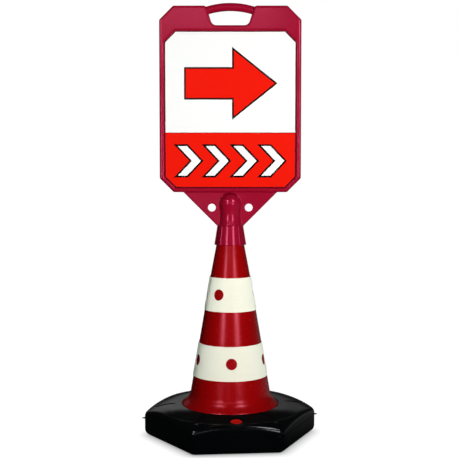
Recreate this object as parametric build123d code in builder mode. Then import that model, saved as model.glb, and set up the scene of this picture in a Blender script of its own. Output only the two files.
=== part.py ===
from build123d import *
from math import asin, cos, degrees, radians, sin, sqrt, tan
import os

# Sign bollard: a weighted hexagonal base, a flared cone with two pale bands, and a two-sided sign
# head with a carry handle. The head is closed round the ball at the cone's tip and turns on it.
# The plug of the base's filler neck pulls out.
# Millimetres, +Z up, the ground at z = 0 under the cone's axis, the sign facing -Y.

# Base tank
BASE_SIDES = 6
BASE_FLATS = 352.0            # across the flats of the hexagon
BASE_CORNER_RADIUS = 20.0
BASE_TURN = 5.0               # degrees that the base stands turned under the sign
BASE_TOP = 73.0               # height of the level ring round the cone's seat
TANK_WALL = 3.5
DOME_START = 131.0            # radius where the top begins to curve down
DOME_RADIUS = 130.0
DOME_SWEEP = 45.0             # degrees of the dome's arc, which runs past the corners
TOP_EDGE_RADIUS = 14.0
BOTTOM_EDGE_RADIUS = 16.0
SEAT_DEPTH = 5.0
SEAT_GAP = 2.0                # shadow gap between the cone's rim and the seat's wall
SEAM_HEIGHT = 40.5            # height of the parting seam
SEAM_WIDTH = 1.4
SEAM_DEPTH = 0.8
NIB_REACH = 6.0               # flash nib, past the rounded corner
NIB_WIDTH = 8.0
NIB_THICKNESS = 2.4
HIP_GROOVE_INNER = 126.0      # radii between which a hip groove runs
HIP_GROOVE_OUTER = 178.0
HIP_GROOVE_WIDTH = 9.0
SAND_LEVEL = 44.0
SAND_GAP = 0.3                # the fill's skin stays this far from the tank's wall

# Filler neck and plug
PLUG_RADIUS_OUT = 149.0       # distance of the neck from the cone's axis
PLUG_TILT = 9.5               # degrees that the neck leans outwards
POCKET_RADIUS = 17.0
POCKET_DEPTH = 9.0
POCKET_EDGE_RADIUS = 1.2
NECK_BORE_RADIUS = 9.8
NECK_LENGTH = 9.0
PLUG_HEAD_RADIUS = 13.8
PLUG_HEAD_HEIGHT = 2.6
PLUG_HEAD_EDGE = 1.0
PLUG_DISH_RADIUS = 10.5       # shallow dish in the head
PLUG_DISH_DEPTH = 0.9
PLUG_FIT = 0.3                # plug to neck, all round
PLUG_SHANK_LENGTH = 12.0
PLUG_LEAD = 1.6
SEAL_RADIUS = 12.6
SEAL_HEIGHT = 1.4
SEAL_GAP = 0.15               # seal to pocket floor

# Cone
RIM_RADIUS = 112.0
RIM_UNDERCUT_RADIUS = 2.0
RIM_EDGE_RADIUS = 5.0
FLARE_RADIUS = 94.8           # radius of the cone where its foot begins to flare
FLARE_HEIGHT = 21.8           # height of that place above the seat
FLARE_ANGLE = 45.0
FLARE_BLEND = 30.0
CONE_TAPER = 0.172            # radius lost for each millimetre of height
TIP_TAPER = 0.19              # the same above the upper band
TIP_LENGTH = 72.0             # from the upper band to the ledge under the sign
CONE_WALL = 3.0

# Bands and their windows
LOWER_BAND_HEIGHT_ABOVE_SEAT = 73.2
BAND_HEIGHT = 76.5
BAND_SPACING = 76.8           # bare cone between the two bands
BAND_WALL = 1.2
BAND_FIT = 0.15               # band to cone
WINDOW_RADIUS = 12.5
WINDOW_FIT = 0.3              # window to boss, all round
BOSS_PROUD = 0.6              # boss above the cone's skin
LOWER_WINDOWS = 5
UPPER_WINDOWS = 3
LOWER_WINDOW_TURN = 2.0       # degrees from the front to the nearest window
UPPER_WINDOW_TURN = -30.0

# Cone fixings
SCREW_CIRCLE_RADIUS = 86.0
SCREW_COUNT = 6
COLUMN_FOOT_RADIUS = 13.0     # tack-off column, inside, at the ground and at its roof
COLUMN_TOP_RADIUS = 10.0
CONE_SCREW_RADIUS = 3.0
CONE_SCREW_LENGTH = 18.0
CONE_SCREW_HEAD_RADIUS = 5.5
CONE_SCREW_HEAD_HEIGHT = 4.0
SCREW_FIT = 0.2               # screw to the hole that it passes, all round
THREAD_FIT = 0.05             # screw to the hole that it bites in, all round
WASHER_RADIUS = 9.0
WASHER_HEIGHT = 1.6
FOOT_BOSS_RADIUS = 7.0
FOOT_BOSS_HEIGHT = 14.0

# Socket of the sign head, and the ball that it turns on
SOCKET_WALL = 2.6
SOCKET_FIT = 0.4              # socket to ball and spigot
COLLAR_OVERHANG = 1.6         # collar outside the cone's tip
COLLAR_GAP = 1.6              # open gap between the ledge and the collar
COLLAR_LENGTH = 43.8
COLLAR_TOP_RADIUS = 28.2
HOOD_RISE = 3.0               # sloped shoulder from collar to hood
HOOD_RADIUS = 26.0
NECK_RADIUS = 23.2
NECK_RISE = 23.5              # from the collar's top to the neck's waist
BALL_RADIUS = 25.8
BALL_RISE = 51.6              # from the collar's top to the ball's centre
BALL_JOIN_ANGLE = 12.5        # degrees below the ball's centre where the neck's arc ends
COLLAR_RIB_ANGLE = 43.0       # degrees to either side of the front and the rear
COLLAR_RIB_WIDTH = 2.2
COLLAR_RIB_PROUD = 1.4

# Mid-plane flange: gusset, chain holes and fins
FLANGE_THICKNESS = 5.0
FLANGE_EDGE_RADIUS = 2.2      # of its sloped edges
FIN_TOP_WIDTH = 2.0           # flange outside the collar at its top and its foot
FIN_FOOT_WIDTH = 2.8
GUSSET_ANGLE = 45.0
CHAIN_HOLE_RADIUS = 9.1
CHAIN_HOLE_SPACING = 85.6
CHAIN_HOLE_DROP = 36.0        # below the panel

# Sign panel
PANEL_CLEARANCE = 1.2         # ball to panel
PANEL_WIDTH = 325.0
PANEL_HEIGHT = 424.9
PANEL_DEPTH = 34.0
PANEL_CHAMFER = 32.0
PANEL_CORNER_RADIUS = 6.5
PANEL_EDGE_RADIUS = 5.3
SHELL_WALL = 2.5
SIDE_RIM = 11.0               # rim beside the poster recess, under it, and between it and the notch
FOOT_RIM = 9.5
NOTCH_RIM = 12.5
RECESS_CHAMFER = 26.0
RECESS_CORNER_RADIUS = 5.0
RECESS_EDGE_RADIUS = 4.0
RECESS_DEPTH = 5.0
RIB_WIDTH = 2.0
RIB_HEIGHT = 6.0
POST_RADIUS = 4.5
POST_COLUMNS = 2
POST_ROWS = 4
POST_SPACING_X = 220.0
POST_SPACING_Z = 95.0

# Handle
NOTCH_TOP_WIDTH = 111.0
NOTCH_FOOT_WIDTH = 82.5
NOTCH_DEPTH = 44.1
NOTCH_FOOT_RADIUS = 13.0
NOTCH_TOP_RADIUS = 8.0
BAR_RADIUS = 9.2
BAR_RISE = 8.1                # top of the bar above the panel
BAR_ARC_RADIUS = 182.0
BAR_ROOT = 4.0                # how far the bar runs into each side of the notch

# Posters and shell screws
POSTER_THICKNESS = 0.5
POSTER_GAP = 0.5              # poster to the recess's wall
SHELL_SCREW_RADIUS = 1.8
SHELL_SCREW_HEAD_RADIUS = 3.8
SHELL_SCREW_HEAD_ANGLE = 90.0
SHELL_SCREW_SUNK = 0.2        # head below the recess's floor
SHELL_SCREW_BITE = 8.0        # thread in the front post

# Levels, from the ground up
SEAT_Z = BASE_TOP - SEAT_DEPTH
FLARE_Z = SEAT_Z + FLARE_HEIGHT
LOWER_BAND_Z = SEAT_Z + LOWER_BAND_HEIGHT_ABOVE_SEAT
UPPER_BAND_Z = LOWER_BAND_Z + BAND_HEIGHT + BAND_SPACING
TIP_Z = UPPER_BAND_Z + BAND_HEIGHT
LEDGE_Z = TIP_Z + TIP_LENGTH
COLLAR_Z = LEDGE_Z + COLLAR_GAP
COLLAR_TOP_Z = COLLAR_Z + COLLAR_LENGTH
HOOD_Z = COLLAR_TOP_Z + HOOD_RISE
NECK_Z = COLLAR_TOP_Z + NECK_RISE
BALL_Z = COLLAR_TOP_Z + BALL_RISE
PANEL_Z = BALL_Z + BALL_RADIUS + PANEL_CLEARANCE
PANEL_TOP_Z = PANEL_Z + PANEL_HEIGHT
NOTCH_Z = PANEL_TOP_Z - NOTCH_DEPTH
RECESS_FOOT_Z = PANEL_Z + FOOT_RIM
RECESS_TOP_Z = NOTCH_Z - NOTCH_RIM
RECESS_Z = (RECESS_FOOT_Z + RECESS_TOP_Z) / 2

# Sizes that follow from these
SEAT_RADIUS = RIM_RADIUS + SEAT_GAP
RIM_TOP_Z = FLARE_Z - (RIM_RADIUS - FLARE_RADIUS) * tan(radians(FLARE_ANGLE))
BASE_CORNER_CENTRE = (BASE_FLATS / 2 - BASE_CORNER_RADIUS) / cos(radians(180 / BASE_SIDES))
BASE_CORNER_REACH = BASE_CORNER_CENTRE + BASE_CORNER_RADIUS
TIP_RADIUS = FLARE_RADIUS - CONE_TAPER * (TIP_Z - FLARE_Z)
LEDGE_RADIUS = TIP_RADIUS - TIP_TAPER * TIP_LENGTH
COLLAR_RADIUS = LEDGE_RADIUS + COLLAR_OVERHANG
COLUMN_HEIGHT = SEAT_Z - TANK_WALL
RECESS_WIDTH = PANEL_WIDTH - 2 * SIDE_RIM
RECESS_HEIGHT = RECESS_TOP_Z - RECESS_FOOT_Z
HALF_DEPTH = PANEL_DEPTH / 2
FLOOR_DEPTH = HALF_DEPTH - RECESS_DEPTH
CAVITY_DEPTH = FLOOR_DEPTH - SHELL_WALL
SHELL_SCREW_HEAD_FLARE = tan(radians(SHELL_SCREW_HEAD_ANGLE / 2))
SHELL_SCREW_HEAD_HEIGHT = (SHELL_SCREW_HEAD_RADIUS - SHELL_SCREW_RADIUS) / SHELL_SCREW_HEAD_FLARE
GUSSET_FOOT = COLLAR_TOP_RADIUS + FIN_TOP_WIDTH
GUSSET_TOP = GUSSET_FOOT + (PANEL_Z - COLLAR_TOP_Z) / tan(radians(GUSSET_ANGLE))
BOTTOM = (Align.CENTER, Align.CENTER, Align.MIN)
TOP = (Align.CENTER, Align.CENTER, Align.MAX)


def dome_height(radius):
    """Height of the tank's top at a distance from the axis: level, then curving down."""
    return BASE_TOP - DOME_RADIUS + sqrt(DOME_RADIUS**2 - max(0, radius - DOME_START) ** 2)


def cone_radius(height):
    """Outer radius of the cone between its flare and its tip."""
    return FLARE_RADIUS - CONE_TAPER * (height - FLARE_Z)


def radial_plane(angle):
    """Upright plane through the axis, with its x axis pointing outwards at this angle."""
    turn = radians(angle)
    return Plane(origin=(0, 0, 0), x_dir=(cos(turn), sin(turn), 0), z_dir=(sin(turn), -cos(turn), 0))


def front_angle(turn):
    """Angle about Z of something that lies this many degrees from the sign's front."""
    return turn - 90


os.makedirs("parts", exist_ok=True)

# Mouth of the filler neck: its floor, square to the neck, at the middle of the base's front side
plug_out = Vector(PLUG_RADIUS_OUT, 0, 0).rotate(Axis.Z, front_angle(BASE_TURN))
plug_lean = Vector(sin(radians(PLUG_TILT)), 0, cos(radians(PLUG_TILT)))
plug_plane = Plane(
    origin=plug_out + Vector(0, 0, dome_height(PLUG_RADIUS_OUT) - POCKET_DEPTH),
    x_dir=Vector(0, 1, 0).rotate(Axis.Z, front_angle(BASE_TURN)),
    z_dir=plug_lean.rotate(Axis.Z, front_angle(BASE_TURN)),
)


def tank_form(inset):
    """The tank's outer form or, with an inset, the space inside a wall of that thickness."""
    with BuildPart() as form:
        with BuildSketch(Plane.XY.offset(inset)):
            RegularPolygon(BASE_FLATS / 2 - inset, BASE_SIDES, major_radius=False, rotation=BASE_TURN)
            fillet(vertices(), BASE_CORNER_RADIUS - inset)
        extrude(amount=BASE_TOP - 2 * inset)
        with BuildSketch(Plane.XZ):
            with BuildLine():
                level = Line((0, BASE_TOP - inset), (DOME_START, BASE_TOP - inset))
                dome = CenterArc((DOME_START, BASE_TOP - DOME_RADIUS), DOME_RADIUS - inset, 90, -DOME_SWEEP)
                Polyline(dome @ 1, ((dome @ 1).X, 0), (0, 0), level @ 0)
            make_face()
        revolve(axis=Axis.Z, mode=Mode.INTERSECT)
        shoulder = faces().filter_by(GeomType.TORUS).edges().filter_by(GeomType.CIRCLE, reverse=True)
        fillet(shoulder, TOP_EDGE_RADIUS - inset)
        fillet(edges().group_by(Axis.Z)[0], BOTTOM_EDGE_RADIUS - inset)
        with Locations((0, 0, SEAT_Z - inset)):
            Cylinder(SEAT_RADIUS + inset, BASE_TOP, align=BOTTOM, mode=Mode.SUBTRACT)
        with PolarLocations(SCREW_CIRCLE_RADIUS, SCREW_COUNT, start_angle=BASE_TURN):
            Cone(
                COLUMN_FOOT_RADIUS + inset,
                COLUMN_TOP_RADIUS + inset,
                COLUMN_HEIGHT,
                align=BOTTOM,
                mode=Mode.SUBTRACT,
            )
    return form.part


def hip_blades(margin):
    """Blades that press the grooves into the hips, thicker by the margin for the space inside.
    A blade's straight edge dips under the domed hip, so that the groove fades out at both ends."""
    with BuildPart() as blades:
        for corner in range(BASE_SIDES):
            with BuildSketch(radial_plane(BASE_TURN + 360 / BASE_SIDES * corner)):
                Polygon(
                    (HIP_GROOVE_INNER, dome_height(HIP_GROOVE_INNER) - margin),
                    (HIP_GROOVE_OUTER, dome_height(HIP_GROOVE_OUTER) - margin),
                    (HIP_GROOVE_OUTER, 2 * BASE_TOP),
                    (HIP_GROOVE_INNER, 2 * BASE_TOP),
                    align=None,
                )
            extrude(amount=HIP_GROOVE_WIDTH / 2 + margin, both=True)
    return blades.part


# Space inside the tank, less the grooves, the pocket and the filler neck that hang into it
with BuildPart() as tank_space:
    add(tank_form(TANK_WALL))
    add(hip_blades(TANK_WALL), mode=Mode.SUBTRACT)
    with Locations(plug_plane.offset(-TANK_WALL)):
        Cylinder(POCKET_RADIUS + TANK_WALL, BASE_TOP, align=BOTTOM, mode=Mode.SUBTRACT)
    with Locations(plug_plane.offset(-NECK_LENGTH)):
        Cylinder(NECK_BORE_RADIUS + TANK_WALL, BASE_TOP, align=BOTTOM, mode=Mode.SUBTRACT)

with BuildPart() as base_tank:
    add(tank_form(0))
    # pocket round the plug, with a soft edge
    with Locations(plug_plane):
        Cylinder(POCKET_RADIUS, BASE_TOP, align=BOTTOM, mode=Mode.SUBTRACT)
    fillet(edges(Select.LAST).sort_by(Axis.Z)[-1], POCKET_EDGE_RADIUS)
    add(hip_blades(0), mode=Mode.SUBTRACT)
    add(tank_space.part, mode=Mode.SUBTRACT)
    # bore of the filler neck
    with Locations(plug_plane):
        Cylinder(NECK_BORE_RADIUS, BASE_TOP / 2, mode=Mode.SUBTRACT)
    # screw holes in the roofs of the columns
    with Locations((0, 0, COLUMN_HEIGHT)):
        with PolarLocations(SCREW_CIRCLE_RADIUS, SCREW_COUNT, start_angle=BASE_TURN):
            Cylinder(CONE_SCREW_RADIUS + SCREW_FIT, TANK_WALL, align=BOTTOM, mode=Mode.SUBTRACT)
    # parting seam
    with BuildSketch(Plane.XY.offset(SEAM_HEIGHT - SEAM_WIDTH / 2)):
        Circle(BASE_FLATS)
        RegularPolygon(
            BASE_FLATS / 2 - SEAM_DEPTH,
            BASE_SIDES,
            major_radius=False,
            rotation=BASE_TURN,
            mode=Mode.SUBTRACT,
        )
        fillet(vertices().group_by(SortBy.DISTANCE)[0], BASE_CORNER_RADIUS - SEAM_DEPTH)
    extrude(amount=SEAM_WIDTH, mode=Mode.SUBTRACT)
    # flash nibs at the corners of the seam
    with BuildSketch(Plane.XY.offset(SEAM_HEIGHT - NIB_THICKNESS / 2)):
        with PolarLocations(BASE_CORNER_REACH, BASE_SIDES, start_angle=BASE_TURN):
            Polygon(
                (-TANK_WALL / 2, -NIB_WIDTH / 2), (NIB_REACH, 0), (-TANK_WALL / 2, NIB_WIDTH / 2), align=None
            )
    extrude(amount=NIB_THICKNESS)
base_tank.part.label = "base_tank"
export_step(base_tank.part, "parts/base_tank.step")

with BuildPart() as sand_fill:
    add(tank_form(TANK_WALL + SAND_GAP))
    split(bisect_by=Plane.XY.offset(SAND_LEVEL), keep=Keep.BOTTOM)
sand_fill.part.label = "sand_fill"
export_step(sand_fill.part, "parts/sand_fill.step")

with BuildPart(plug_plane) as plug_seal:
    with Locations((0, 0, SEAL_GAP)):
        Cylinder(SEAL_RADIUS, SEAL_HEIGHT, align=BOTTOM)
        Cylinder(NECK_BORE_RADIUS, SEAL_HEIGHT, align=BOTTOM, mode=Mode.SUBTRACT)
plug_seal.part.label = "plug_seal"
export_step(plug_seal.part, "parts/plug_seal.step")

with BuildPart(plug_plane) as fill_plug:
    with Locations((0, 0, SEAL_GAP + SEAL_HEIGHT)):
        Cylinder(PLUG_HEAD_RADIUS, PLUG_HEAD_HEIGHT, align=BOTTOM)
        fillet(edges().sort_by(Axis(plug_plane.origin, plug_plane.z_dir))[-1], PLUG_HEAD_EDGE)
        Cylinder(NECK_BORE_RADIUS - PLUG_FIT, PLUG_SHANK_LENGTH, align=TOP)
        chamfer(edges().sort_by(Axis(plug_plane.origin, plug_plane.z_dir))[0], PLUG_LEAD)
    with Locations((0, 0, SEAL_GAP + SEAL_HEIGHT + PLUG_HEAD_HEIGHT)):
        Cylinder(PLUG_DISH_RADIUS, PLUG_DISH_DEPTH, align=TOP, mode=Mode.SUBTRACT)
fill_plug.part.label = "fill_plug"
export_step(fill_plug.part, "parts/fill_plug.step")


def socket_side(foot, inset):
    """Half section of the socket from its foot to the top of the ball, drawn in by the inset:
    none for the outside, the wall for the bore, the wall and the fit for what stands in it."""
    ball = BALL_RADIUS - inset
    join = Vector(ball * cos(radians(BALL_JOIN_ANGLE)), BALL_Z - ball * sin(radians(BALL_JOIN_ANGLE)))
    collar = Polyline(
        (COLLAR_RADIUS - inset, foot),
        (COLLAR_TOP_RADIUS - inset, COLLAR_TOP_Z),
        (HOOD_RADIUS - inset, HOOD_Z),
    )
    ThreePointArc(collar @ 1, (NECK_RADIUS - inset, NECK_Z), join)
    crown = CenterArc((0, BALL_Z), ball, -BALL_JOIN_ANGLE, 90 + BALL_JOIN_ANGLE)
    Polyline(crown @ 1, (0, foot), collar @ 0)


def window_planes(band_foot, count, turn):
    """Planes on the cone's skin, facing out, at the middles of a band's windows."""
    height = band_foot + BAND_HEIGHT / 2
    planes = []
    for index in range(count):
        skin = radial_plane(front_angle(turn) + 360 / count * index)
        outwards = skin.x_dir + Vector(0, 0, CONE_TAPER)
        planes.append(Plane(skin.from_local_coords((cone_radius(height), height)), skin.z_dir, outwards))
    return planes


def window_bosses(band_foot, count, turn):
    """Low round bosses on the cone that the windows of a band drop over."""
    with BuildPart() as bosses:
        with Locations(*window_planes(band_foot, count, turn)):
            Cylinder(WINDOW_RADIUS, 4 * CONE_WALL)
        with BuildSketch(Plane.XZ):
            top = band_foot + BAND_HEIGHT
            Polygon(
                (cone_radius(band_foot) - CONE_WALL / 2, band_foot),
                (cone_radius(band_foot) + BOSS_PROUD, band_foot),
                (cone_radius(top) + BOSS_PROUD, top),
                (cone_radius(top) - CONE_WALL / 2, top),
                align=None,
            )
        revolve(axis=Axis.Z, mode=Mode.INTERSECT)
    return bosses.part


# Half section of the cone: foot, flare and tapered side up to the ledge, then spigot and ball
with BuildSketch(Plane.XZ) as cone_section:
    with BuildLine():
        side = FilletPolyline(
            (0, SEAT_Z),
            (RIM_RADIUS, SEAT_Z),
            (RIM_RADIUS, RIM_TOP_Z),
            (FLARE_RADIUS, FLARE_Z),
            (TIP_RADIUS, TIP_Z),
            (LEDGE_RADIUS, LEDGE_Z),
            (0, LEDGE_Z),
            radius=[RIM_UNDERCUT_RADIUS, RIM_EDGE_RADIUS, FLARE_BLEND, 0, 0],
        )
        Line(side @ 1, side @ 0)
    make_face()
    with BuildLine():
        socket_side(LEDGE_Z, SOCKET_WALL + SOCKET_FIT)
    make_face()

# Half section of the air inside it
with BuildSketch(Plane.XZ) as cone_space:
    add(cone_section.sketch)
    mirror(about=Plane.YZ)
    offset(amount=-CONE_WALL, kind=Kind.INTERSECTION)
    split(bisect_by=Plane.YZ)

with BuildPart() as cone:
    revolve(cone_section.sketch, axis=Axis.Z)
    revolve(cone_space.sketch, axis=Axis.Z, mode=Mode.SUBTRACT)
    add(window_bosses(LOWER_BAND_Z, LOWER_WINDOWS, LOWER_WINDOW_TURN))
    add(window_bosses(UPPER_BAND_Z, UPPER_WINDOWS, UPPER_WINDOW_TURN))
    # bosses that the fixing screws bite in
    with Locations((0, 0, SEAT_Z)):
        with PolarLocations(SCREW_CIRCLE_RADIUS, SCREW_COUNT, start_angle=BASE_TURN):
            Cylinder(FOOT_BOSS_RADIUS, FOOT_BOSS_HEIGHT + CONE_WALL, align=BOTTOM)
            Cylinder(CONE_SCREW_RADIUS + THREAD_FIT, CONE_SCREW_LENGTH, align=BOTTOM, mode=Mode.SUBTRACT)
cone.part.label = "cone"
export_step(cone.part, "parts/cone.step")


def band(foot, count, turn):
    """A sleeve that follows the cone, with round windows."""
    top = foot + BAND_HEIGHT
    with BuildPart() as sleeve:
        with BuildSketch(Plane.XZ):
            Polygon(
                (cone_radius(foot) + BAND_FIT, foot),
                (cone_radius(foot) + BAND_FIT + BAND_WALL, foot),
                (cone_radius(top) + BAND_FIT + BAND_WALL, top),
                (cone_radius(top) + BAND_FIT, top),
                align=None,
            )
        revolve(axis=Axis.Z)
        with Locations(*window_planes(foot, count, turn)):
            Cylinder(WINDOW_RADIUS + WINDOW_FIT, 4 * CONE_WALL, mode=Mode.SUBTRACT)
    return sleeve.part


with BuildPart() as lower_band:
    add(band(LOWER_BAND_Z, LOWER_WINDOWS, LOWER_WINDOW_TURN))
lower_band.part.label = "lower_band"
export_step(lower_band.part, "parts/lower_band.step")

with BuildPart() as upper_band:
    add(band(UPPER_BAND_Z, UPPER_WINDOWS, UPPER_WINDOW_TURN))
upper_band.part.label = "upper_band"
export_step(upper_band.part, "parts/upper_band.step")

with BuildPart() as cone_washers:
    with Locations((0, 0, COLUMN_HEIGHT)):
        with PolarLocations(SCREW_CIRCLE_RADIUS, SCREW_COUNT, start_angle=BASE_TURN):
            Cylinder(WASHER_RADIUS, WASHER_HEIGHT, align=TOP)
            Cylinder(CONE_SCREW_RADIUS + SCREW_FIT, WASHER_HEIGHT, align=TOP, mode=Mode.SUBTRACT)
cone_washers.part.label = "cone_washers"
export_step(cone_washers.part, "parts/cone_washers.step")

with BuildPart() as cone_screws:
    with Locations((0, 0, COLUMN_HEIGHT - WASHER_HEIGHT)):
        with PolarLocations(SCREW_CIRCLE_RADIUS, SCREW_COUNT, start_angle=BASE_TURN):
            Cylinder(CONE_SCREW_RADIUS, CONE_SCREW_LENGTH, align=BOTTOM)
            Cylinder(CONE_SCREW_HEAD_RADIUS, CONE_SCREW_HEAD_HEIGHT, align=TOP)
cone_screws.part.label = "cone_screws"
export_step(cone_screws.part, "parts/cone_screws.step")

# Mid-plane of the sign head, with its origin at the middle of the posters
post_plane = Plane((0, 0, RECESS_Z), x_dir=(1, 0, 0), z_dir=(0, -1, 0))


# Outline of the sign panel, with chamfered corners and the notch under the handle
panel_side = PANEL_WIDTH / 2
panel_shoulder = panel_side - PANEL_CHAMFER
panel_right = [
    (panel_shoulder, PANEL_Z),
    (panel_side, PANEL_Z + PANEL_CHAMFER),
    (panel_side, PANEL_TOP_Z - PANEL_CHAMFER),
    (panel_shoulder, PANEL_TOP_Z),
    (NOTCH_TOP_WIDTH / 2, PANEL_TOP_Z),
    (NOTCH_FOOT_WIDTH / 2, NOTCH_Z),
]
panel_left = [(-x, z) for x, z in reversed(panel_right)]
panel_rounding = [PANEL_CORNER_RADIUS] * 4 + [NOTCH_TOP_RADIUS, NOTCH_FOOT_RADIUS]

with BuildSketch(Plane.XZ) as panel_face:
    with BuildLine():
        FilletPolyline(
            *panel_right, *panel_left, radius=panel_rounding + panel_rounding[::-1], close=True
        )
    make_face()


def recess_outline(inset):
    """Outline of the poster recess, or with an inset that of the poster in it."""
    side = RECESS_WIDTH / 2 - inset
    half = RECESS_HEIGHT / 2 - inset
    cut = RECESS_CHAMFER - inset * (2 - sqrt(2))
    Polygon(
        (side - cut, -half),
        (side, cut - half),
        (side, half - cut),
        (side - cut, half),
        (cut - side, half),
        (-side, half - cut),
        (-side, cut - half),
        (cut - side, -half),
        align=None,
    )
    fillet(vertices(), RECESS_CORNER_RADIUS - inset)


# Front half of the flange: gusset under the panel, fins beside the collar
with BuildPart() as flange_half:
    with BuildSketch(Plane.XZ):
        fin = COLLAR_RADIUS + FIN_FOOT_WIDTH
        Polygon(
            (-GUSSET_TOP, PANEL_Z),
            (-GUSSET_TOP, PANEL_Z + SHELL_WALL),
            (GUSSET_TOP, PANEL_Z + SHELL_WALL),
            (GUSSET_TOP, PANEL_Z),
            (GUSSET_FOOT, COLLAR_TOP_Z),
            (fin, COLLAR_Z),
            (-fin, COLLAR_Z),
            (-GUSSET_FOOT, COLLAR_TOP_Z),
            align=None,
        )
        with Locations((0, PANEL_Z - CHAIN_HOLE_DROP)):
            with GridLocations(CHAIN_HOLE_SPACING, 0, 2, 1):
                Circle(CHAIN_HOLE_RADIUS, mode=Mode.SUBTRACT)
    extrude(amount=FLANGE_THICKNESS / 2)
    outline = faces().sort_by(Axis.Y)[0].edges().filter_by(GeomType.LINE)
    slopes = outline.filter_by(Axis.X, reverse=True).filter_by(Axis.Z, reverse=True)
    fillet(slopes, FLANGE_EDGE_RADIUS)

# Front half of the sign head: a hollow panel half with its recess, ribs and posts, half of the
# handle, and half of the flange and socket
with BuildPart() as sign_half:
    extrude(panel_face.sketch, amount=HALF_DEPTH)
    fillet(faces().sort_by(Axis.Y)[0].edges(), PANEL_EDGE_RADIUS)
    # recess with a rounded edge
    with BuildSketch(post_plane.offset(HALF_DEPTH)):
        recess_outline(0)
    extrude(amount=-RECESS_DEPTH, mode=Mode.SUBTRACT)
    fillet(faces().sort_by(Axis.Y)[0].inner_wires().edges(), RECESS_EDGE_RADIUS)
    # hollow behind the recess, and the deeper one behind the header above it
    with BuildSketch(Plane.XZ):
        add(panel_face.sketch)
        offset(amount=-SHELL_WALL)
    extrude(amount=CAVITY_DEPTH, mode=Mode.SUBTRACT)
    with BuildSketch(Plane.XZ):
        add(panel_face.sketch)
        offset(amount=-SHELL_WALL)
        with Locations((0, RECESS_TOP_Z + RECESS_EDGE_RADIUS)):
            Rectangle(
                PANEL_WIDTH, PANEL_HEIGHT, align=(Align.CENTER, Align.MIN), mode=Mode.INTERSECT
            )
    extrude(amount=HALF_DEPTH - SHELL_WALL, mode=Mode.SUBTRACT)
    header_roof = faces(Select.LAST).filter_by(Axis.Y).sort_by(Axis.Y)[0]
    fillet(header_roof.edges(), PANEL_EDGE_RADIUS - SHELL_WALL)
    # ribs, with posts where they cross
    with BuildSketch(post_plane.offset(CAVITY_DEPTH)):
        with GridLocations(POST_SPACING_X, 0, POST_COLUMNS, 1):
            Rectangle(RIB_WIDTH, RECESS_HEIGHT)
        with GridLocations(0, POST_SPACING_Z, 1, POST_ROWS):
            Rectangle(RECESS_WIDTH, RIB_WIDTH)
    extrude(amount=-RIB_HEIGHT)
    with BuildSketch(post_plane):
        with GridLocations(POST_SPACING_X, POST_SPACING_Z, POST_COLUMNS, POST_ROWS):
            Circle(POST_RADIUS)
    extrude(amount=CAVITY_DEPTH)
    # handle bar
    with BuildLine(Plane.XZ):
        reach = degrees(asin((NOTCH_TOP_WIDTH / 2 + BAR_ROOT) / BAR_ARC_RADIUS))
        bar_centre = (0, PANEL_TOP_Z + BAR_RISE - BAR_RADIUS - BAR_ARC_RADIUS)
        bar_path = CenterArc(bar_centre, BAR_ARC_RADIUS, 90 - reach, 2 * reach)
    with BuildSketch(Plane(bar_path @ 0, z_dir=bar_path % 0)):
        Circle(BAR_RADIUS)
    sweep()
    add(flange_half.part)
    # ribs on the collar
    for turn in (-COLLAR_RIB_ANGLE, COLLAR_RIB_ANGLE):
        with BuildSketch(radial_plane(front_angle(turn))):
            Polygon(
                (COLLAR_RADIUS - SOCKET_WALL / 2, COLLAR_Z),
                (COLLAR_RADIUS + COLLAR_RIB_PROUD, COLLAR_Z),
                (COLLAR_TOP_RADIUS + COLLAR_RIB_PROUD, COLLAR_TOP_Z),
                (COLLAR_TOP_RADIUS - SOCKET_WALL / 2, COLLAR_TOP_Z),
                align=None,
            )
        extrude(amount=COLLAR_RIB_WIDTH / 2, both=True)
    # socket and its bore
    with BuildSketch(Plane.XZ):
        with BuildLine():
            socket_side(COLLAR_Z, 0)
        make_face()
    revolve(axis=Axis.Z)
    with BuildSketch(Plane.XZ):
        with BuildLine():
            socket_side(LEDGE_Z, SOCKET_WALL)
        make_face()
    revolve(axis=Axis.Z, mode=Mode.SUBTRACT)
    split(bisect_by=Plane.XZ)

with BuildPart() as sign_front_shell:
    add(sign_half.part)
    # pilot holes for the shell screws
    with BuildSketch(post_plane):
        with GridLocations(POST_SPACING_X, POST_SPACING_Z, POST_COLUMNS, POST_ROWS):
            Circle(SHELL_SCREW_RADIUS + THREAD_FIT)
    extrude(amount=CAVITY_DEPTH, mode=Mode.SUBTRACT)
sign_front_shell.part.label = "sign_front_shell"
export_step(sign_front_shell.part, "parts/sign_front_shell.step")

# Floor of the rear recess
rear_floor = Plane((0, FLOOR_DEPTH, RECESS_Z), x_dir=(1, 0, 0), z_dir=(0, 1, 0))

with BuildPart() as sign_rear_shell:
    mirror(sign_half.part, about=Plane.XZ)
    # countersunk holes for the shell screws, under the rear poster
    with Locations(rear_floor):
        with GridLocations(POST_SPACING_X, POST_SPACING_Z, POST_COLUMNS, POST_ROWS):
            CounterSinkHole(
                SHELL_SCREW_RADIUS + SCREW_FIT,
                SHELL_SCREW_HEAD_RADIUS + SHELL_SCREW_SUNK + SCREW_FIT,
                depth=FLOOR_DEPTH,
                counter_sink_angle=SHELL_SCREW_HEAD_ANGLE,
            )
sign_rear_shell.part.label = "sign_rear_shell"
export_step(sign_rear_shell.part, "parts/sign_rear_shell.step")

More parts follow.
